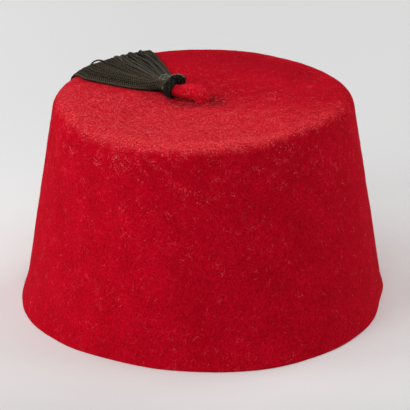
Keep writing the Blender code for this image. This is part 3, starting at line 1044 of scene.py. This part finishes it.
# Collar curl
# A torn flap of the sleeve's own black cotton that has rolled up and lies along
# its mouth, tapering to both ends. Cut threads stand out all over sleeve and curl.
CURL_RINGS = 26
CURL_TURNS = 36
CURL_FOLDS = 5
CURL_FOLD_DEPTH = 0.16
CURL_SEAM_DEPTH = 0.22
CURL_LUMP_SHARE = 0.25
CURL_LUMP_REACH = 0.0012
CURL_THINNEST = 0.0002
FRAY_COUNT = 2000
FRAY_LENGTH = 0.0011
FRAY_THICKNESS = 0.00006
FRAY_RISE = 0.6
FRAYED_INSIDE_ROWS = 6
CURL_LINE = (
    # left_m, back_m, above_felt_m, radius_m
    (-0.0182, 0.0046, 0.0062, 0.0010),
    (-0.0168, 0.0058, 0.0070, 0.0017),
    (-0.0148, 0.0066, 0.0076, 0.0021),
    (-0.0126, 0.0068, 0.0079, 0.0020),
    (-0.0108, 0.0065, 0.0078, 0.0018),
    (-0.0098, 0.0062, 0.0075, 0.0012),
    (-0.0094, 0.0061, 0.0074, 0.0003),
)
curl_points = []
for ring in range(CURL_RINGS + 1):
    place = (len(CURL_LINE) - 1) * ring / CURL_RINGS
    left, back, above, radius = along_table(CURL_LINE, place)
    ahead = along_table(CURL_LINE, min(place + 0.1, len(CURL_LINE) - 1.001))
    behind = along_table(CURL_LINE, max(place - 0.1, 0.0))
    middle = felt_over(left, back, above)
    run = (felt_over(*ahead[:3]) - felt_over(*behind[:3])).normalized()

    def curl_radius(turn, point):
        fold = CURL_FOLD_DEPTH * cos(CURL_FOLDS * turn + 0.2 * ring)
        fold -= CURL_SEAM_DEPTH * swell(turn_from(turn, 2.6), 0.8)
        lump = CURL_LUMP_SHARE * noise.noise(point / CURL_LUMP_REACH)
        return max(radius, CURL_THINNEST) * (1 + fold + lump)

    curl_points += ring_round(middle, run, curl_radius, CURL_TURNS)
curl_faces = tube_faces(CURL_RINGS + 1, CURL_TURNS)
curl = add_mesh("collar_curl", curl_points, curl_faces, frayed_black)
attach(curl, "root")
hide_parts("tassel_collar")
frayed_faces = collar_faces[: COLLAR_TURNS * (COLLAR_ROWS + FRAYED_INSIDE_ROWS)]
for face in curl_faces[: CURL_TURNS * CURL_RINGS]:
    frayed_faces.append(tuple(index + len(collar_points) for index in face))
black_fibre = fibre_material(
    "black_fibre", dark=(0.0075, 0.0050, 0.0050), middle=(0.022, 0.017, 0.015), pale=(0.10, 0.09, 0.08)
)
frays = fibres.grow(
    "collar_threads",
    patch_of(collar_points + curl_points, frayed_faces, "collar_threads"),
    black_fibre,
    Count=FRAY_COUNT,
    Length=FRAY_LENGTH,
    Thickness=FRAY_THICKNESS,
    Rise=FRAY_RISE,
    Seed=13,
)
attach(frays, "root")

# Tassel
# Two-ply twisted cotton cords, 1.2 mm thick, laid over a lower layer of thicker
# ones. They run from the neck across the top, spread, fall over the back edge and
# end cut square.
CORD_RADIUS = 0.00060
UNDER_RADIUS = 0.00080
CORD_PITCH = 0.0024
CORD_STEP = 0.00036
CORD_GAP = 0.0002
HANG = 0.0360
HANG_NEAR_AZIMUTH_DEG = 151.5
HANG_FAR_AZIMUTH_DEG = 112
HANG_DRIFT_DEG = -1.5
HANG_SHORTER_FAR = 0.82
PLY_POINTS = 8
PLY_WAIST = 0.48
PLY_SHARPNESS = 1.2
CORD_START_ROW = 0.15
CORD_END_ROW = 8.95
CORD_STEPS = 84
SWAY_TURNS = 7
OUTERMOST = 0.012
LOOSE_RAISE = 0.0002
LOOSE_FULLY = 0.012
UNEVEN_HEIGHT = 0.10
NEAR_ROUNDING = 0.30
FAR_FLATNESS = 0.86
FAR_FLAT_START = 0.28
FAR_FLAT_SPAN = 0.46
NEAR_START = 0.080
NEAR_SPACING = 0.0318
NEAR_HEIGHTS = (1.0, 1.08, 1.02, 1.1, 1.0, 1.08, 0.96, 0.84, 0.68, 0.56, 0.58, 0.70, 0.82, 0.92, 0.96)
NEAR_EDGE = (
    # across_share, height_share
    (0.006, 0.0),
    (0.009, 0.32),
    (0.018, 0.62),
    (0.034, 0.86),
    (0.056, 0.98),
)
FAR_CLUMPS = 7
FULL_CLUMPS = (2, 5)
FAR_START = 0.556
FAR_SPACING = 0.0690
STRAND_SPACING = 0.024
STRAYS = (
    # across_share, lift_m
    (0.575, 0.0007),
    (0.668, 0.0009),
    (0.768, 0.0008),
    (0.858, 0.0007),
)
UNDER_CORDS = 33
UNDER_START = 0.036
UNDER_SPACING = 0.0290
SKIRT = (
    # near_left, near_back, far_left, far_back, height_share
    (0.3900, 0.1220, 0.2150, 0.2960, 0.70),
    (0.4950, 0.1550, 0.2320, 0.4430, 0.56),
    (0.6080, 0.2010, 0.2650, 0.5750, 0.49),
    (0.7330, 0.2600, 0.3060, 0.7130, 0.42),
    (0.8180, 0.3110, 0.3370, 0.8190, 0.35),
    (0.8620, 0.3780, 0.3590, 0.8720, 0.29),
)


def skirt_rows():
    """The tassel's rows from head to free ends: near x and y, far x and y, height, lift."""
    neck_side = Vector((-neck_run.y, neck_run.x, 0))
    rows = []
    for reach, width, height, lift in (
        (HEAD_REACH, HEAD_WIDTH, HEAD_HEIGHT, HEAD_LIFT),
        (NECK_REACH, NECK_WIDTH, NECK_HEIGHT, 0.0),
    ):
        middle = stem_end + neck_run * reach
        near, far = middle + neck_side * width / 2, middle - neck_side * width / 2
        rows.append([near.x, near.y, far.x, far.y, height, lift])
    for near_left, near_back, far_left, far_back, height_share in SKIRT:
        flat = [TOP_RADIUS * value for value in (-near_left, near_back, -far_left, far_back)]
        rows.append([*flat, NECK_HEIGHT * height_share, 0.0])
    over_edge = hypot(rows[-1][0], rows[-1][1])
    for share in (0.5, 1.0):
        near = over_edge + HANG * share
        far = over_edge + HANG * HANG_SHORTER_FAR * share
        near_turn = radians(HANG_NEAR_AZIMUTH_DEG + HANG_DRIFT_DEG * share)
        far_turn = radians(HANG_FAR_AZIMUTH_DEG + HANG_DRIFT_DEG * share)
        flat = (near * cos(near_turn), near * sin(near_turn), far * cos(far_turn), far * sin(far_turn))
        rows.append([*flat, rows[-1][4], 0.0])
    return rows


laid_rows = skirt_rows()


def cord_point(place, across, high, lift=0.0):
    """A cord's middle by row of the tassel, from near to far and from lower to upper layer."""
    near_x, near_y, far_x, far_y, height, row_lift = along_table(laid_rows, place)
    side = 2 * across - 1
    flat = smooth((place - 0.6) / 2.6)
    bulge = mix(sqrt(max(1 - side * side, 0.0)), 1.0, flat)
    shoulder = 1 - flat * (1 - min(across / NEAR_ROUNDING, 1.0)) ** 2
    shoulder *= 1 - FAR_FLATNESS * flat * smooth((across - FAR_FLAT_START) / FAR_FLAT_SPAN)
    room = max(height - 2 * CORD_RADIUS, 0.0) * (0.5 + (high - 0.5) * bulge) * shoulder
    x, y = mix(near_x, far_x, across), mix(near_y, far_y, across)
    return felt_over(x, y, CORD_GAP + row_lift + CORD_RADIUS + room + lift)


def cord_tree():
    """Lines made into two-ply twisted cords with square cut ends."""
    grow = Growth("twisted_cords")
    radius = grow.size("Radius", CORD_RADIUS)
    pitch = grow.size("Pitch", CORD_PITCH)
    step = grow.size("Step", CORD_STEP)
    waist = grow.size("Waist", PLY_WAIST)
    material = grow.size("Material", None, "Material")
    line = grow.add("GeometryNodeMeshToCurve", Mesh=grow.entry.outputs["Geometry"])
    even = grow.add("GeometryNodeResampleCurve", {"mode": "LENGTH"}, Curve=line.outputs["Curve"], Length=step)
    gone = grow.add("GeometryNodeSplineParameter").outputs["Length"]
    turn = grow.math("MULTIPLY", grow.math("DIVIDE", gone, pitch), 2 * pi)
    turn = grow.math("ADD", turn, grow.math("MULTIPLY", grow.read("start_turn"), 2 * pi))
    twisted = grow.add("GeometryNodeSetCurveTilt", Curve=even.outputs["Curve"], Tilt=turn)
    place = grow.add("GeometryNodeInputPosition").outputs["Position"]
    profile = grow.add("GeometryNodeCurvePrimitiveCircle", Resolution=PLY_POINTS, Radius=radius)
    angle = grow.math("MULTIPLY", grow.add("GeometryNodeInputIndex").outputs["Index"], 2 * pi / PLY_POINTS)
    # The ridge value shapes the plies, and the thread material also uses it to paint highlights on their
    # ridges and shade in the grooves.
    ridge = grow.math("POWER", grow.math("ABSOLUTE", grow.math("COSINE", angle)), PLY_SHARPNESS)
    stored = grow.store(profile.outputs["Curve"], "ridge", ridge)
    pinch = grow.math("SUBTRACT", 1.0, grow.math("MULTIPLY", waist, grow.math("SUBTRACT", 1.0, ridge)))
    pinched = grow.add("ShaderNodeVectorMath", {"operation": "SCALE"}, Vector=place, Scale=pinch)
    plies = grow.add("GeometryNodeSetPosition", Geometry=stored, Position=pinched.outputs["Vector"])
    tube = grow.add(
        "GeometryNodeCurveToMesh",
        Curve=twisted.outputs["Curve"],
        Profile_Curve=plies.outputs["Geometry"],
        Fill_Caps=True,
    )
    # The upper value, how far each point faces up or outward, paints light on the cords' tops and shade on
    # their undersides.
    facing = grow.add("GeometryNodeInputNormal").outputs["Normal"]
    level = grow.add("ShaderNodeVectorMath", {"operation": "MULTIPLY"})
    grow.tree.links.new(place, level.inputs[0])
    level.inputs[1].default_value = (1.0, 1.0, 0.0)
    outward = grow.add("ShaderNodeVectorMath", {"operation": "NORMALIZE"})
    grow.tree.links.new(level.outputs["Vector"], outward.inputs[0])
    sideways = grow.add("ShaderNodeVectorMath", {"operation": "DOT_PRODUCT"})
    grow.tree.links.new(facing, sideways.inputs[0])
    grow.tree.links.new(outward.outputs["Vector"], sideways.inputs[1])
    upwards = grow.add("ShaderNodeSeparateXYZ", Vector=facing)
    upper = grow.math("MAXIMUM", upwards.outputs["Z"], sideways.outputs["Value"])
    grow.end(grow.store(tube.outputs["Mesh"], "upper", upper), material)
    return grow


chance = random.Random(17)


def cord_at(across, high, uneven, wander, lift=0.0):
    """A cord's line from the head to its cut end, its tone and where its twist starts."""
    last_row = CORD_END_ROW - chance.uniform(0, uneven)
    drift = [chance.uniform(-1, 1) for _ in range(SWAY_TURNS + 1)]
    line = []
    for step in range(CORD_STEPS + 1):
        place = mix(CORD_START_ROW, last_row, step / CORD_STEPS)
        loose = wander * smooth((place - 1.6) / 2.0)
        bends = place * SWAY_TURNS / 9
        index = min(int(bends), SWAY_TURNS - 1)
        sway = mix(drift[index], drift[index + 1], smooth(bends - index))
        ripple = 0.25 * sin(2.3 * place + 9 * drift[0]) + 0.12 * sin(6.1 * place + 9 * drift[1])
        shifted = min(max(across + loose * (sway + ripple), OUTERMOST), 1 - OUTERMOST)
        raised = lift + LOOSE_RAISE * loose / LOOSE_FULLY * drift[3]
        line.append(cord_point(place, shifted, high + UNEVEN_HEIGHT * drift[2], raised))
    return line, chance.uniform(0.38, 1.0), chance.random()


twisted_cords = cord_tree()
faded_black = thread_material("faded_black", dark=(0.0050, 0.0044, 0.0038), light=(0.127, 0.110, 0.088))
faded_brown = thread_material("faded_brown", dark=(0.0060, 0.0042, 0.0026), light=(0.102, 0.081, 0.056))
near_lines, far_lines, under_lines = [], [], []
for across, high in NEAR_EDGE:
    near_lines.append(cord_at(across, high, uneven=0.1, wander=0.002))
for cord, high in enumerate(NEAR_HEIGHTS):
    across = NEAR_START + NEAR_SPACING * cord + chance.uniform(-0.003, 0.003)
    near_lines.append(cord_at(across, high, uneven=0.12, wander=0.005))
for clump in range(FAR_CLUMPS):
    for strand in (-1, 0, 1) if clump in FULL_CLUMPS else (-0.5, 0.5):
        across = FAR_START + FAR_SPACING * clump + STRAND_SPACING * strand
        far_lines.append(cord_at(across, 0.97 + 0.12 * strand, uneven=0.2, wander=0.011, lift=0.0001))
for across, lift in STRAYS:
    far_lines.append(cord_at(across, 1.0, uneven=0.2, wander=0.032, lift=lift))
# The lower layer gets tone nought, which paints it nearly black: painted shade in the gaps between the upper
# cords.
for cord in range(UNDER_CORDS):
    across = UNDER_START + UNDER_SPACING * cord
    line, tone, turn = cord_at(across, 0.0, uneven=0.15, wander=0.003, lift=UNDER_RADIUS - CORD_RADIUS)
    under_lines.append((line, 0.0, turn))
for name, lines in (("cords_near", near_lines), ("cords_far", far_lines), ("cords_under", under_lines)):
    thick = UNDER_RADIUS if name == "cords_under" else CORD_RADIUS
    cotton = faded_brown if name == "cords_near" else faded_black
    cords = twisted_cords.grow(
        name, line_mesh(name, lines), cotton, Radius=thick, Pitch=CORD_PITCH, Step=CORD_STEP
    )
    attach(cords, "root")
    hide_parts("tassel_skirt")

# Loose cord
# One slightly thinner cord of the same cotton has sprung out of the tassel. It
# lies on the others, arches up before the back edge and hangs down behind it.
LOOSE_RADIUS = 0.00052
LOOSE_STEPS = 60
LOOSE_TONE = 0.5
LOOSE_TURN = 0.3
LOOSE_CORD = (
    # left_m, back_m, above_felt_m
    (-0.0330, 0.0235, 0.0024),
    (-0.0400, 0.0320, 0.0023),
    (-0.0460, 0.0400, 0.0022),
    (-0.0510, 0.0455, 0.0018),
    (-0.0545, 0.0490, 0.0028),
    (-0.0572, 0.0512, 0.0038),
    (-0.0600, 0.0526, 0.0038),
    (-0.0632, 0.0540, 0.0025),
    (-0.0664, 0.0564, 0.0015),
    (-0.0708, 0.0612, 0.0012),
    (-0.0748, 0.0658, 0.0014),
    (-0.0780, 0.0692, 0.0014),
)
loose_line = []
for step in range(LOOSE_STEPS + 1):
    left, back, above = along_table(LOOSE_CORD, (len(LOOSE_CORD) - 1) * step / LOOSE_STEPS)
    loose_line.append(felt_over(left, back, above))
loose_cord = twisted_cords.grow(
    "loose_cord",
    line_mesh("loose_cord", [(loose_line, LOOSE_TONE, LOOSE_TURN)]),
    faded_black,
    Radius=LOOSE_RADIUS,
    Pitch=CORD_PITCH,
    Step=CORD_STEP,
)
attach(loose_cord, "root")

# Neck loops
# Thinner threads tie the cords' ends together over the collar. They are loosely
# wound, so their worn loops stand proud on top of the neck and over the collar.
LOOP_RADIUS = 0.00042
LOOP_PITCH = 0.0014
LOOP_STEP = 0.00024
LOOP_STEPS = 40
LOOP_RIPPLE = 0.0002
NECK_LOOPS = (
    # left_m, back_m, above_felt_m along each loop
    (
        (-0.0232, 0.0080, 0.0040), (-0.0227, 0.0099, 0.0056), (-0.0225, 0.0124, 0.0066),
        (-0.0212, 0.0143, 0.0073), (-0.0193, 0.0145, 0.0076), (-0.0175, 0.0133, 0.0074),
        (-0.0167, 0.0126, 0.0068), (-0.0160, 0.0120, 0.0056),
    ),
    (
        (-0.0214, 0.0060, 0.0046), (-0.0211, 0.0078, 0.0062), (-0.0206, 0.0097, 0.0072),
        (-0.0194, 0.0106, 0.0076), (-0.0179, 0.0112, 0.0077), (-0.0169, 0.0120, 0.0072),
        (-0.0162, 0.0124, 0.0060),
    ),
    (
        (-0.0212, 0.0036, 0.0036), (-0.0203, 0.0045, 0.0056), (-0.0193, 0.0053, 0.0068),
        (-0.0181, 0.0065, 0.0075), (-0.0171, 0.0078, 0.0077), (-0.0160, 0.0082, 0.0074),
    ),
    (
        (-0.0219, 0.0090, 0.0060), (-0.0205, 0.0120, 0.0074), (-0.0188, 0.0128, 0.0078),
        (-0.0178, 0.0112, 0.0077), (-0.0183, 0.0092, 0.0076), (-0.0197, 0.0082, 0.0070),
        (-0.0207, 0.0090, 0.0066),
    ),
    (
        (-0.0176, 0.0098, 0.0076), (-0.0167, 0.0094, 0.0088), (-0.0153, 0.0083, 0.0099),
        (-0.0130, 0.0077, 0.0103), (-0.0111, 0.0071, 0.0100), (-0.0099, 0.0057, 0.0092),
    ),
    (
        (-0.0175, 0.0080, 0.0078), (-0.0170, 0.0062, 0.0078), (-0.0167, 0.0044, 0.0076),
        (-0.0160, 0.0038, 0.0072), (-0.0148, 0.0042, 0.0072),
    ),
)
loop_lines = []
for points in NECK_LOOPS:
    line = []
    for step in range(LOOP_STEPS + 1):
        left, back, above = along_table(points, (len(points) - 1) * step / LOOP_STEPS)
        line.append(felt_over(left, back, above + LOOP_RIPPLE * sin(0.9 * step)))
    loop_lines.append((line, chance.uniform(0.6, 1.0), chance.random()))
worn_olive = thread_material("worn_olive", dark=(0.036, 0.037, 0.027), light=(0.320, 0.325, 0.250))
neck_loops = twisted_cords.grow(
    "neck_loops",
    line_mesh("neck_loops", loop_lines),
    worn_olive,
    Radius=LOOP_RADIUS,
    Pitch=LOOP_PITCH,
    Step=LOOP_STEP,
)
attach(neck_loops, "root")

# Stage
# The hat stands on a wide sheet of matt pale paper. Large soft lights stand all
# round it, and the camera looks down on it a little from straight in front. The
# paper's colour holds painted light: darker to the front and just behind the hat,
# lighter to the left and far behind.
FLOOR_WIDTH = 12
PAPER_ROUGHNESS = 0.9
ROOM_GLOW = 0.02
LIGHT_AIM = (0.0, 0.0, 0.05)
CAMERA_PLACE = (0.0, -1.2976, 0.5807)
CAMERA_AIM = (0.0005, 0.0, 0.0503)
LENS_MM = 239.8
SENSOR_MM = 36.0
# Painted light on the paper: its colour is made darker and lighter across the floor.
PAINTED_FLOOR_LIGHT = (
    # axis, from_m, to_m, first_shade, last_shade
    ("Y", -0.170, -0.085, 0.70, 0.82),
    ("X", -0.20, 0.0, 1.07, 1.0),
    ("Y", 0.0, 0.32, 1.0, 0.91),
    ("Y", 0.40, 1.20, 1.0, 1.05),
)
LIGHTS = (
    # name, place, width_m, power_w
    ("window_left", (-1.7, 0.0, 0.9), 1.0, 13.2),
    ("window_left_back", (-1.3, 0.9, 0.75), 0.9, 4.4),
    ("left_front", (-1.3, -1.2, 1.0), 1.0, 13.7),
    ("front_above", (0.0, -1.6, 1.7), 1.2, 13.0),
    ("overhead", (0.0, 0.0, 1.9), 1.4, 6.1),
    ("right", (1.7, 0.0, 0.9), 1.0, 8.3),
    ("right_back", (1.2, 1.0, 1.0), 1.0, 10.8),
    ("back", (0.0, 1.6, 0.8), 1.2, 2.8),
)
bpy.ops.mesh.primitive_plane_add(size=FLOOR_WIDTH)
floor = bpy.context.active_object
floor.name = "floor"
paper = Finish("paper")
spot = paper.add("ShaderNodeSeparateXYZ", Vector=paper.add("ShaderNodeTexCoord").outputs["Object"])
# Painted light and shade: the paper's colour is multiplied by each gradient in turn.
painted_floor_light = 1.0
for axis, start, end, first, last in PAINTED_FLOOR_LIGHT:
    painted_floor_light = paper.multiply(painted_floor_light, paper.span(spot.outputs[axis], start, end, first, last, "SMOOTHSTEP"))
floor.data.materials.append(paper.finish(painted_floor_light, PAPER_ROUGHNESS))
floor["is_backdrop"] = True


def turned_to(place, aim):
    """The turn that points a light or camera from its place at its aim."""
    return (Vector(aim) - Vector(place)).to_track_quat("-Z", "Y").to_euler()


for name, place, width, power in LIGHTS:
    light_data = bpy.data.lights.new(name, "AREA")
    light_data.shape = "SQUARE"
    light_data.size = width
    light_data.energy = power
    light = bpy.data.objects.new(name, light_data)
    light.location = place
    light.rotation_euler = turned_to(place, LIGHT_AIM)
    bpy.context.scene.collection.objects.link(light)
world = bpy.data.worlds.new("room")
bpy.context.scene.world = world
world.use_nodes = True
world.node_tree.nodes["Background"].inputs["Color"].default_value = (1.0, 1.0, 1.0, 1.0)
world.node_tree.nodes["Background"].inputs["Strength"].default_value = ROOM_GLOW

camera_data = bpy.data.cameras.new("camera")
camera_data.lens = LENS_MM
camera_data.sensor_width = SENSOR_MM
camera = bpy.data.objects.new("camera", camera_data)
camera.location = CAMERA_PLACE
camera.rotation_euler = turned_to(CAMERA_PLACE, CAMERA_AIM)
bpy.context.scene.collection.objects.link(camera)
bpy.context.scene.camera = camera
bpy.context.scene.view_settings.view_transform = "Standard"

low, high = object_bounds()
